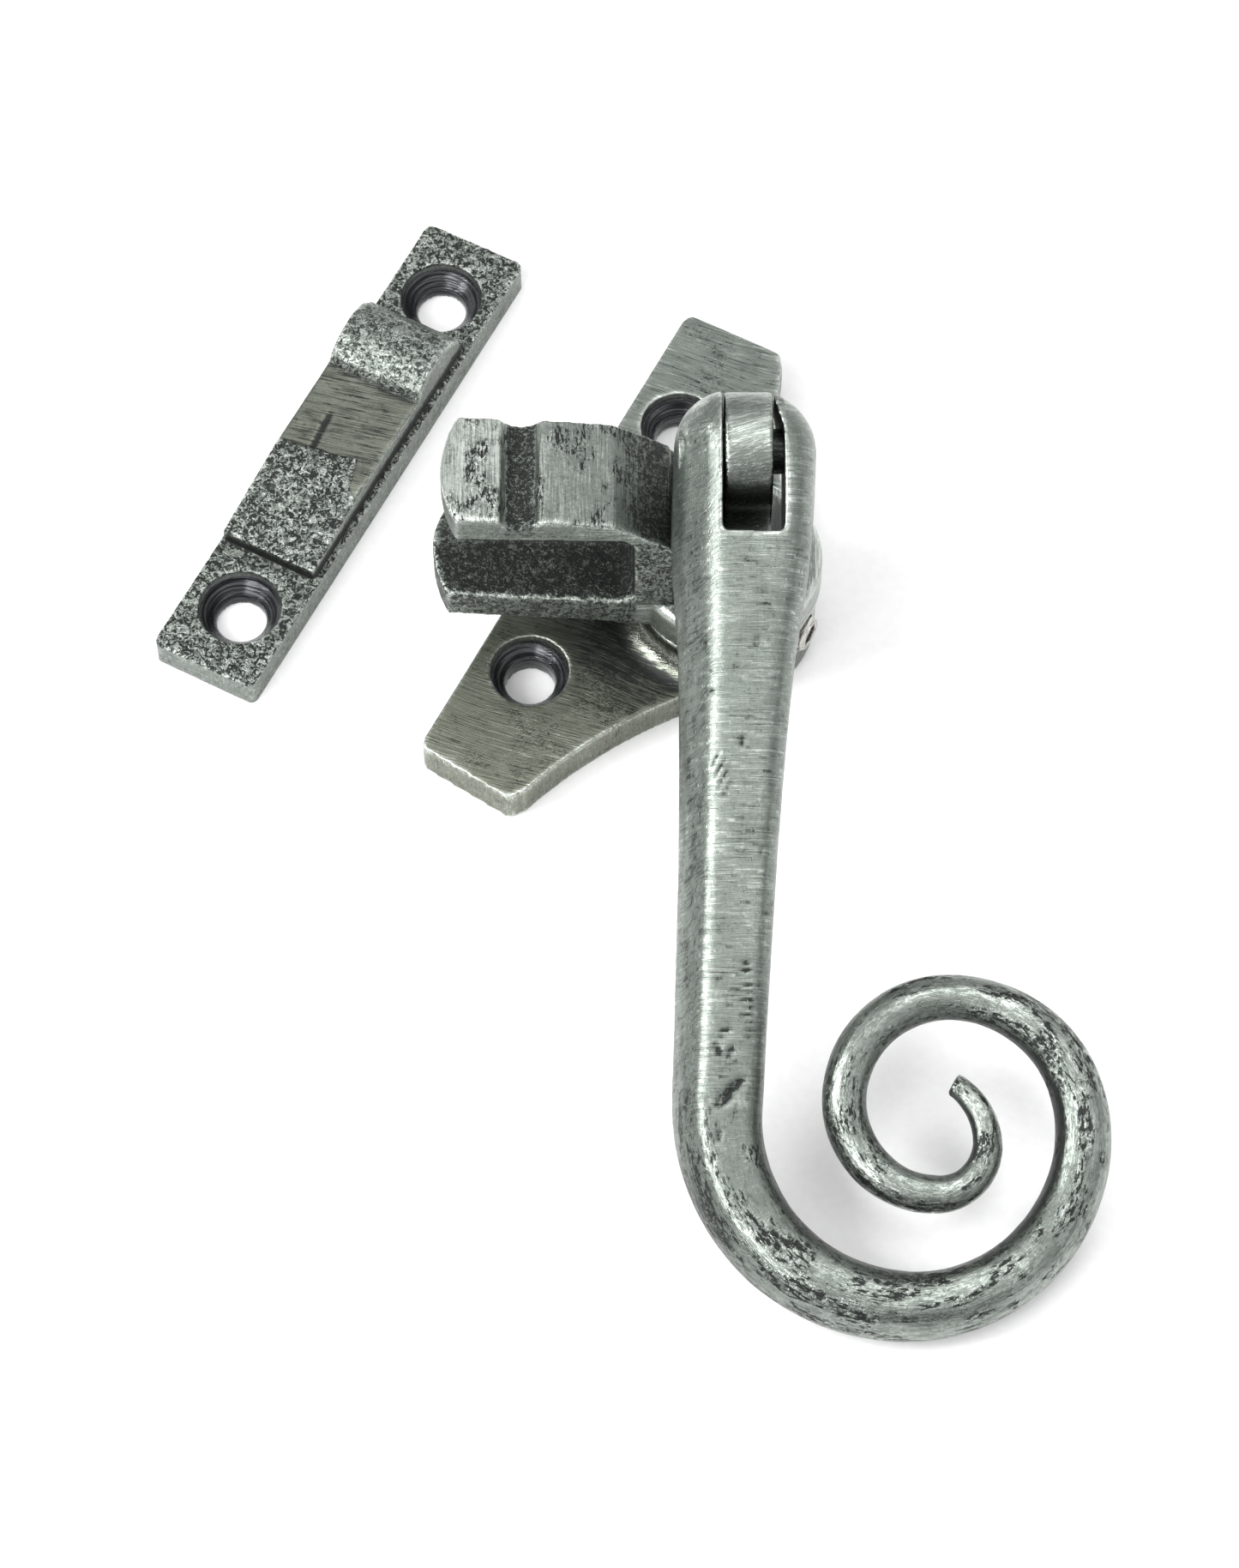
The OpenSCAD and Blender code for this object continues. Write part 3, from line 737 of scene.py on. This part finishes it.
def swept(rows, around):
    """The closed skin of the rod along the rows."""
    points = []
    flat, soft = section(around, 0.0), section(around, 0.8)
    for x, y, h, w, d, s in rows:
        f = 0.04 + 0.84 * float(step(s, ROUND_FROM, ROUND_FULL)) + 0.8 * float(step(-s, -6, EAR_R))
        ring = flat * max(1 - f, 0) + soft * min(f, 1)
        side = np.array([math.cos(h), math.sin(h), 0])
        points.extend(np.array([x, y, 0]) + ring[:, :1] * w / 2 * side + ring[:, 1:] * d / 2 * np.array([0, 0, 1.0]))
    n, last = around, len(rows) - 1
    faces = [
        (i * n + k, (i + 1) * n + k, (i + 1) * n + (k + 1) % n, i * n + (k + 1) % n)
        for i in range(last) for k in range(n)
    ]
    faces.append(tuple(range(n)))
    faces.append(tuple(last * n + k for k in range(n - 1, -1, -1)))
    mesh = mesh_of(points, faces)
    bm = bmesh.new()
    bm.from_mesh(mesh)
    bmesh.ops.recalc_face_normals(bm, faces=bm.faces)
    bm.to_mesh(mesh)
    bm.free()
    return mesh


def slot_cutter():
    """A block with rounded inner corners. The ear away from the nose leans in at its tip."""
    corner, back, deep = 0.7, -14.0, 12.0
    half = SLOT_W / 2
    outline = [(half, back)]
    for cx, start in ((half - corner, 0), (corner - half, 90)):
        for a in np.radians(np.arange(start, start + 91, 15)):
            outline.append((cx + corner * math.cos(a), SLOT_LEN - corner + corner * math.sin(a)))
    outline += [(-half, -0.5), (0.2 - half, -2.0), (0.7 - half, -3.6), (1.0 - half, -5.0), (1.05 - half, back)]
    n = len(outline)
    points = [(SLOT_X + x, y, z) for z in (-deep, deep) for x, y in outline]
    faces = [tuple(range(n))[::-1], tuple(range(n, 2 * n))]
    faces += [(k, (k + 1) % n, n + (k + 1) % n, n + k) for k in range(n)]
    return mesh_of(points, faces)


def slotted(mesh):
    cutter = new_object("slot_cutter", slot_cutter())
    made = modified(mesh, "BOOLEAN", operation="DIFFERENCE", object=cutter, solver="EXACT")
    bpy.data.objects.remove(cutter)
    return made


def along_rod(p, rows):
    """For each point: length along the rod, offset into the curl, height over its plane, and the rod's width."""
    tree = KDTree(len(rows))
    for i, row in enumerate(rows):
        tree.insert((row[0], row[1], 0), i)
    tree.balance()
    near = rows[np.array([tree.find((x, y, 0))[1] for x, y, _ in p])]
    side = (p[:, 0] - near[:, 0]) * np.cos(near[:, 2]) + (p[:, 1] - near[:, 1]) * np.sin(near[:, 2])
    return near[:, 5], -side, p[:, 2], near[:, 3]


def tool_marks(p):
    """How deep the marks press at each point, in millimetres."""
    deep = np.zeros(len(p))
    for x, y, length, width, turn, depth in MARKS:
        a = math.radians(turn)
        dx, dy = p[:, 0] - x, p[:, 1] - y
        # +X of the drawing is the left of what is seen, so a turn runs from the right upwards
        along = -dx * math.cos(a) - dy * math.sin(a)
        across = dx * math.sin(a) - dy * math.cos(a)
        deep += depth * np.exp(-((along / length * 2) ** 4) - (across / width * 1.6) ** 2)
    nicks = step(np.sin(p[:, 1] * NICKS_PER_MM * 2 * np.pi) + layered(p, 0.8, 2, 53), -0.6, 0.5)
    deep *= np.where(np.abs(p[:, 1] - NICKS_Y) < NICKS_REACH, nicks, 1)
    return deep * (p[:, 2] > 2)


def handle():
    rows = centre_line()
    mesh = smoothed(voxels(slotted(swept(rows, ROD_SIDES)), VOXEL["handle"]), 2)
    p, no = points_of(mesh), normals_of(mesh)
    s, side, height, width = along_rod(p, rows)
    curl = step(s, CURL_FROM, CURL_FULL)
    stretched = np.stack([s / 7.0, side / 2.4, height / 2.4], 1)
    hammered = layered(stretched, 1.0, 3, 31)
    lengthwise = np.stack([s / 3.2, side, height], 1)
    patches = step(layered(lengthwise, 1.3, 3, 41), 0.0, 0.28)
    grooves = step(-layered(np.stack([s / 2.6, side, height], 1), 0.42, 3, 43), 0.15, 0.5) * (0.08 + 0.92 * patches)
    marks = tool_marks(p)
    press = (0.06 + 0.07 * curl) * hammered - 0.14 * curl * grooves - marks
    fade = step(p[:, 1], 11, 16)
    p = p + no * (press * np.maximum(fade, 0.25))[:, None]
    set_points(mesh, p)
    cast = curl * 0.34 * patches + 0.06
    lowness = rough_skin(mesh, cast, 0.07, 0.5, 51)
    edge = convexity(mesh, 8)
    inner = step(side / width, 0.20, 0.44) * curl
    outer_low = step(-side / width, 0.30, 0.5) * curl * step(-height, -1.0, 1.5)
    worn = 0.47 + 2.6 * np.clip(edge, -0.2, 0.2) - 0.38 * inner - 0.22 * cast * lowness - 0.15 * outer_low
    worn = worn - 0.45 * curl * grooves - 2.2 * np.clip(marks, 0, 0.25) * step(layered(p, 0.45, 2, 55), -0.20, 0.2)
    left = step(-side, 2.2, 4.2) * (1 - curl)
    # painted shade: the slanted facet beside the shank's ridge, on its top side, is darkened
    slanted_facet_shade = step(-side / width, 0.20, 0.27) * (1 - step(-side / width, 0.40, 0.46)) * (1 - step(s, 80, 100)) * fade
    # painted shade: the scroll's surfaces facing +X, the left of what is seen, are darkened
    away = step(no[:, 0], 0.45, 0.9) * curl
    worn = worn + 0.11 * curl - 0.13 * slanted_facet_shade * (height > 0) - 0.42 * away
    worn = worn + 0.22 * left * layered(np.stack([s / 2.2, side * 1.6, height], 1), 1.0, 3, 57)
    # painted shade: the slot's walls are darkened as the shadow inside the slot
    slot_wall_shade = (np.abs(p[:, 0] - SLOT_X) < SLOT_W / 2 + 0.12) * (p[:, 1] < SLOT_LEN + 0.12) * (np.abs(no[:, 2]) < 0.6)
    worn = worn - 0.42 * slot_wall_shade
    grain = np.stack([side + height + 0.35 * s * left, s + 0.5 * left * side, 0.08 * height], 1)
    flow = np.stack([s, side, height], 1)
    stored_looks(
        mesh, grain, flow=flow, worn=worn, cast=cast, gloss=0.15 + 0.55 * curl,
        pitted=0.05 + 0.95 * curl * (0.14 + 0.86 * patches), lengthwise=curl,
    )
    set_points(mesh, hung(points_of(mesh)))
    return finish_piece("handle_finished", mesh, "handle", PEWTER, ["handle"])


def knuckle_pin():
    mesh = smoothed(voxels(cad_mesh("knuckle_pin"), VOXEL["knuckle_pin"]), 3)
    p = points_of(mesh)
    edge = convexity(mesh, 6)
    # painted shade: the pin's middle, in the dark gap beside the tongue, is darkened
    middle = 1 - step(np.abs(in_turret(p)[:, 0] - HEAD_X), 5.5, 6.2)
    stored_looks(mesh, in_turret(p), worn=0.5 + 1.5 * np.clip(edge, -0.2, 0.2) - 0.4 * middle, gloss=0.2)
    return finish_piece("knuckle_pin_finished", mesh, "handle", PEWTER, ["knuckle_pin"])


# ---- grub screw ----


def grub_screw():
    """A thread as a real helix, as wide as the CAD node, with a hexagon socket in its outer end."""
    low, high = span("grub_screw")
    radius = (high[2] - low[2]) / 2
    y0, z0 = (low[1] + high[1]) / 2, (low[2] + high[2]) / 2
    length = high[0] - low[0]
    pitch, depth, around, per_turn = 0.8, 0.42, 60, 10
    socket_w, socket_deep, socket_rim = 2.5, 2.6, 0.14
    inner_taper, outer_taper = 1.1, 0.45
    points, faces = [], []

    def ring(x, radii):
        first = len(points)
        for k in range(around):
            a = 2 * math.pi * k / around
            points.append((low[0] + x, y0 + radii[k] * math.cos(a), z0 + radii[k] * math.sin(a)))
        return first

    def join(a, b):
        for k in range(around):
            n = (k + 1) % around
            faces.append((a + k, a + n, b + n, b + k))

    angles = np.arange(around) / around
    previous = ring(0, np.full(around, radius - inner_taper))
    faces.append(tuple(range(around))[::-1])
    steps = int(length / pitch * per_turn)
    for i in range(1, steps + 1):
        x = length * i / steps
        phase = (x / pitch - angles) % 1
        tooth = np.abs(2 * phase - 1)
        tooth = np.clip(tooth * 1.25 - 0.06, 0, 1)
        limit = min(radius, radius - inner_taper + x, radius - outer_taper + (length - x))
        current = ring(x, np.minimum(radius - depth * tooth, limit))
        join(previous, current)
        previous = current
    hexagon = np.array([
        socket_w / 2 / math.cos(((2 * math.pi * k / around + math.pi / 6) % (math.pi / 3)) - math.pi / 6)
        for k in range(around)
    ])
    for x, radii in (
        (length, hexagon + socket_rim), (length - socket_rim, hexagon), (length - socket_deep, hexagon * 0.995),
        (length - socket_deep - 0.5, hexagon * 0.05),
    ):
        current = ring(x, radii)
        join(previous, current)
        previous = current
    faces.append(tuple(previous + k for k in range(around)))
    mesh = mesh_of(points, faces)
    piece = finish_piece("grub_screw_threaded", mesh, "grub_screw", STEEL, ["grub_screw"])
    piece.data.polygons.foreach_set("use_smooth", [False] * len(piece.data.polygons))
    return piece


# ---- turned parts that keep their CAD shape ----


def turned_parts():
    for node in ("bearing_washer", "spindle", "spring_washer", "retaining_washer"):
        obj = frame["nodes"][node]
        obj.data.materials.clear()
        obj.data.materials.append(STEEL)
        bevel = obj.modifiers.new("edge", "BEVEL")
        bevel.width = 0.12 * MM
        bevel.segments = 2
        bevel.limit_method = "ANGLE"
        bevel.angle_limit = math.radians(40)


# ---- stage ----

AZIMUTH, ELEVATION = math.radians(27.65), math.radians(61.6)
AIM = Vector((14.84, -24.85, 0)) * MM
DISTANCE = 561.3 * MM
FOCAL_LENGTH, SENSOR_WIDTH = 112.4, 36
FLOOR_HALF = 3.0
LIT = Vector((0.02, -0.03, 0))     # what the lamps point at


def camera():
    look = Vector((
        -math.sin(AZIMUTH) * math.cos(ELEVATION), math.cos(AZIMUTH) * math.cos(ELEVATION), -math.sin(ELEVATION)
    ))
    data = bpy.data.cameras.new("camera")
    data.sensor_width = SENSOR_WIDTH
    data.lens = FOCAL_LENGTH
    data.clip_start = 0.01
    obj = new_object("camera", data)
    obj.location = AIM - look * DISTANCE
    obj.rotation_euler = look.to_track_quat("-Z", "Y").to_euler()
    bpy.context.scene.camera = obj


def floor():
    h = FLOOR_HALF
    mesh = mesh_of([(-h, -h, 0), (h, -h, 0), (h, h, 0), (-h, h, 0)], [(0, 1, 2, 3)])
    n = Nodes(bpy.data.materials.new("paper"))
    place = n.add("ShaderNodeTexCoord").outputs["Object"]
    shade = n.between(n.noise(place, 900, 2.0, 0.6), 0.3, 0.7)
    n.put(n.shader.inputs["Base Color"], n.mix(shade, PAPER_LOW, PAPER_HIGH))
    n.shader.inputs["Roughness"].default_value = 0.9
    mesh.materials.append(n.owner)
    obj = new_object("paper", mesh)


def lamp(name, place, size, power):
    data = bpy.data.lights.new(name, "AREA")
    data.shape = "RECTANGLE"
    data.size, data.size_y = size
    data.energy = power
    obj = new_object(name, data)
    obj.location = place
    obj.rotation_euler = (LIT - place).to_track_quat("-Z", "Y").to_euler()


def studio():
    """A white tent, bright overhead, on the right and on the far side, with three soft boxes above."""
    world = bpy.data.worlds.new("studio")
    bpy.context.scene.world = world
    n = Nodes(world)
    way = n.add("ShaderNodeTexCoord").outputs["Generated"]

    def lobe(towards, low, high, power):
        dot = n.add("ShaderNodeVectorMath", {0: way, 1: Vector(towards).normalized()}, operation="DOT_PRODUCT")
        return n.between(dot.outputs["Value"], low, high, 0.0, power)

    side = Vector((math.cos(AZIMUTH), math.sin(AZIMUTH), 0))
    toward = Vector((math.sin(AZIMUTH), -math.cos(AZIMUTH), 0))
    up = Vector((0, 0, 1))
    total = n.plus(lobe(up, 0.30, 0.85, 0.74), 0.12)
    total = n.plus(total, lobe(side + up * 0.2, 0.1, 0.9, 0.50))
    total = n.plus(total, lobe(-toward + up * 0.3, 0.1, 0.9, 0.30))
    background = world.node_tree.nodes["Background"]
    n.put(background.inputs["Strength"], total)
    background.inputs["Color"].default_value = (1, 1, 1, 1)

    lamp("key_box", LIT + (-side * 0.76 + up * 0.62 + toward * 0.10), (0.46, 0.46), 8.0)
    lamp("bend_box", LIT + (-side * 0.44 + up * 0.68 + toward * 0.59), (0.5, 0.5), 4.8)
    lamp("top_box", LIT + (up - toward * 0.05 + side * 0.1), (0.5, 0.4), 2.6)
    bpy.context.scene.view_settings.view_transform = "Standard"


hook_plate()
base_plate()
nose()
handle()
knuckle_pin()
grub_screw()
turned_parts()
camera()
floor()
studio()
